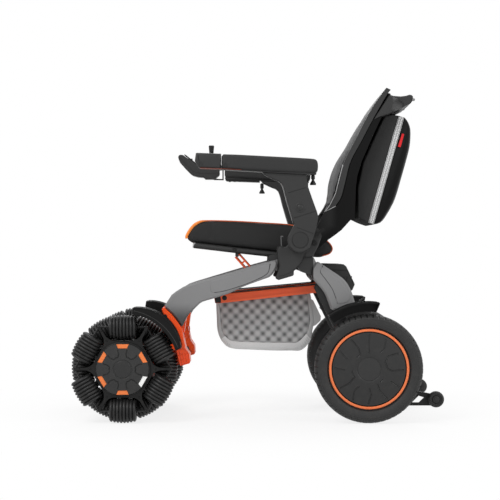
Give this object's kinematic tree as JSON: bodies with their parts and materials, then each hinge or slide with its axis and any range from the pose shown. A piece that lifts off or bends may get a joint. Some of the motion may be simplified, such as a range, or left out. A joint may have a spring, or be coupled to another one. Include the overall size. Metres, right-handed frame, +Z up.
{
  "type": "folding power wheelchair",
  "caption": "Folding power wheelchair with omni front wheels, driven rear wheels, flip-up armrests, joystick control, reclining back, battery and under-seat bag.",
  "frame": {"origin": "on the ground under the middle of the chair's box", "axes": "+X towards the back of the chair, +Y towards its right side, +Z up; the left side is at -Y"},
  "size_m": [1.083, 0.619, 0.969],
  "materials": {
    "dark_plastic": "fine moulded texture, dark grey",
    "grey_paint": "satin grey paint over cast aluminium",
    "orange_paint": "satin orange paint over aluminium",
    "black_rubber": "moulded black rubber",
    "fender_plastic": "black moulded plastic",
    "tyre": "solid black tyre",
    "black_metal": "black powder coat over aluminium",
    "battery_shell": "black plastic battery case",
    "frame_plastic": "black moulded back frame",
    "black_fabric": "black woven cover over foam",
    "grey_fabric": "quilted grey cloth"
  },
  "bodies": {
    "front_frame": {"main_cross_tube": "black_metal", "hub_plate_left": "dark_plastic", "hub_plate_right": "dark_plastic", "front_arm_left": "grey_paint", "front_arm_right": "grey_paint", "front_cross_tube": "black_metal", "front_fork_left": "orange_paint", "front_fork_right": "orange_paint", "front_fender_left": "fender_plastic", "front_fender_right": "fender_plastic"},
    "rear_frame": {"rear_arm_left": "grey_paint", "rear_arm_right": "grey_paint", "rear_fork_left": "black_metal", "rear_fork_right": "black_metal", "rear_fender_left": "fender_plastic", "rear_fender_right": "fender_plastic", "battery_case": "dark_plastic"},
    "backrest": {"back_frame": "frame_plastic", "back_shell": "dark_plastic", "back_cushion": "black_fabric", "push_handle": "dark_plastic", "backpack": "black_fabric"},
    "seat": {"seat_pan": "black_metal", "seat_cushion": "black_fabric"},
    "struts": {"side_strut_left": "orange_paint", "side_strut_right": "orange_paint", "storage_bag": "grey_fabric"},
    "armrest_left": {"armrest_post_left": "dark_plastic", "arm_pad_left": "black_fabric", "arm_module_left": "dark_plastic"},
    "armrest_right": {"armrest_post_right": "dark_plastic", "arm_pad_right": "black_fabric", "controller": "dark_plastic"},
    "footplate": {"footplate": "dark_plastic"},
    "prop": {"seat_prop": "orange_paint"},
    "front_wheel_left": {"omni_hub_left": "black_metal", "rollers_outer_left": "black_rubber", "rollers_inner_left": "black_rubber", "front_wheel_cap_left": "dark_plastic"},
    "front_wheel_right": {"omni_hub_right": "black_metal", "rollers_outer_right": "black_rubber", "rollers_inner_right": "black_rubber", "front_wheel_cap_right": "dark_plastic"},
    "rear_wheel_left": {"rear_tyre_left": "tyre", "hub_motor_left": "black_metal", "hub_cover_left": "dark_plastic"},
    "rear_wheel_right": {"rear_tyre_right": "tyre", "hub_motor_right": "black_metal", "hub_cover_right": "dark_plastic"},
    "battery": {"battery_pack": "battery_shell"},
    "anti_tip_left": {"anti_tip_arm_left": "black_metal"},
    "anti_tip_right": {"anti_tip_arm_right": "black_metal"},
    "anti_tip_roller_left": {"anti_tip_wheel_left": "black_rubber"},
    "anti_tip_roller_right": {"anti_tip_wheel_right": "black_rubber"},
    "gimbal": {"joystick_gimbal": "black_metal"},
    "stick": {"joystick": "black_rubber"},
    "knob_left": {"pad_knob_left": "black_rubber"},
    "knob_right": {"pad_knob_right": "black_rubber"},
    "knob_bar": {"bar_knob": "black_rubber"},
    "lever": {"recline_lever": "orange_paint"}
  },
  "joints": [
    {"name": "rear_fold", "type": "hinge", "parent": "front_frame", "child": "rear_frame", "pos_m": [0.067, 0, 0.497], "axis": [0, 1, 0], "range_deg": [0, 45]},
    {"name": "backrest_hinge", "type": "hinge", "parent": "front_frame", "child": "backrest", "pos_m": [0.163, 0, 0.517], "axis": [0, -1, 0], "range_deg": [-25, 60]},
    {"name": "strut_link", "type": "hinge", "parent": "rear_frame", "child": "struts", "pos_m": [0.179, 0, 0.386], "axis": [0, 1, 0], "range_deg": [-32, 0]},
    {"name": "armrest_left_hinge", "type": "hinge", "parent": "front_frame", "child": "armrest_left", "pos_m": [0.121, -0.2475, 0.525], "axis": [0, 1, 0], "range_deg": [0, 80]},
    {"name": "armrest_right_hinge", "type": "hinge", "parent": "front_frame", "child": "armrest_right", "pos_m": [0.121, 0.2475, 0.525], "axis": [0, 1, 0], "range_deg": [0, 80]},
    {"name": "footplate_hinge", "type": "hinge", "parent": "front_frame", "child": "footplate", "pos_m": [-0.222, 0, 0.185], "axis": [0, 1, 0], "range_deg": [0, 80]},
    {"name": "seat_tilt", "type": "hinge", "parent": "front_frame", "child": "seat", "pos_m": [0.067, 0, 0.497], "axis": [0, 1, 0], "range_deg": [0, 6]},
    {"name": "prop_swing", "type": "hinge", "parent": "seat", "child": "prop", "pos_m": [-0.061, 0, 0.48], "axis": [0, 1, 0], "range_deg": [0, 35]},
    {"name": "front_wheel_left_spin", "type": "hinge", "parent": "front_frame", "child": "front_wheel_left", "pos_m": [-0.3865, -0.241, 0.155], "axis": [0, 1, 0], "continuous": true},
    {"name": "front_wheel_right_spin", "type": "hinge", "parent": "front_frame", "child": "front_wheel_right", "pos_m": [-0.3865, 0.241, 0.155], "axis": [0, 1, 0], "continuous": true},
    {"name": "rear_wheel_left_spin", "type": "hinge", "parent": "rear_frame", "child": "rear_wheel_left", "pos_m": [0.3175, -0.275, 0.156], "axis": [0, 1, 0], "continuous": true},
    {"name": "rear_wheel_right_spin", "type": "hinge", "parent": "rear_frame", "child": "rear_wheel_right", "pos_m": [0.3175, 0.275, 0.156], "axis": [0, 1, 0], "continuous": true},
    {"name": "battery_slide", "type": "slide", "parent": "rear_frame", "child": "battery", "axis": [1, 0, 0], "range_m": [0, 0.09]},
    {"name": "anti_tip_left_flip", "type": "hinge", "parent": "rear_frame", "child": "anti_tip_left", "pos_m": [0.3795, -0.196, 0.096], "axis": [0, -1, 0], "range_deg": [0, 100]},
    {"name": "anti_tip_left_roll", "type": "hinge", "parent": "anti_tip_left", "child": "anti_tip_roller_left", "pos_m": [0.518, -0.212, 0.062], "axis": [0, 1, 0], "continuous": true},
    {"name": "anti_tip_right_flip", "type": "hinge", "parent": "rear_frame", "child": "anti_tip_right", "pos_m": [0.3795, 0.196, 0.096], "axis": [0, -1, 0], "range_deg": [0, 100]},
    {"name": "anti_tip_right_roll", "type": "hinge", "parent": "anti_tip_right", "child": "anti_tip_roller_right", "pos_m": [0.518, 0.212, 0.062], "axis": [0, 1, 0], "continuous": true},
    {"name": "stick_side", "type": "hinge", "parent": "armrest_right", "child": "gimbal", "pos_m": [-0.147, 0.27, 0.759], "axis": [1, 0, 0], "range_deg": [-15, 15], "stiffness_Nm_per_rad": 0.3},
    {"name": "stick_forward", "type": "hinge", "parent": "gimbal", "child": "stick", "pos_m": [-0.147, 0.27, 0.759], "axis": [0, 1, 0], "range_deg": [-15, 15], "stiffness_Nm_per_rad": 0.3},
    {"name": "recline_lever_pull", "type": "hinge", "parent": "front_frame", "child": "lever", "pos_m": [0.1715, -0.2405, 0.5425], "axis": [0, -1, 0], "range_deg": [0, 25], "stiffness_Nm_per_rad": 0.05},
    {"name": "knob_left_turn", "type": "hinge", "parent": "armrest_left", "child": "knob_left", "pos_m": [0.159, -0.252, 0.7135], "axis": [0, 0, 1], "continuous": true},
    {"name": "knob_right_turn", "type": "hinge", "parent": "armrest_right", "child": "knob_right", "pos_m": [0.159, 0.252, 0.7135], "axis": [0, 0, 1], "continuous": true},
    {"name": "knob_bar_turn", "type": "hinge", "parent": "armrest_right", "child": "knob_bar", "pos_m": [0.016, 0.252, 0.711], "axis": [0, 0, 1], "continuous": true}
  ],
  "couplings": [
    {"joint": "strut_link", "follows": "rear_fold", "ratio": -0.71}
  ]
}
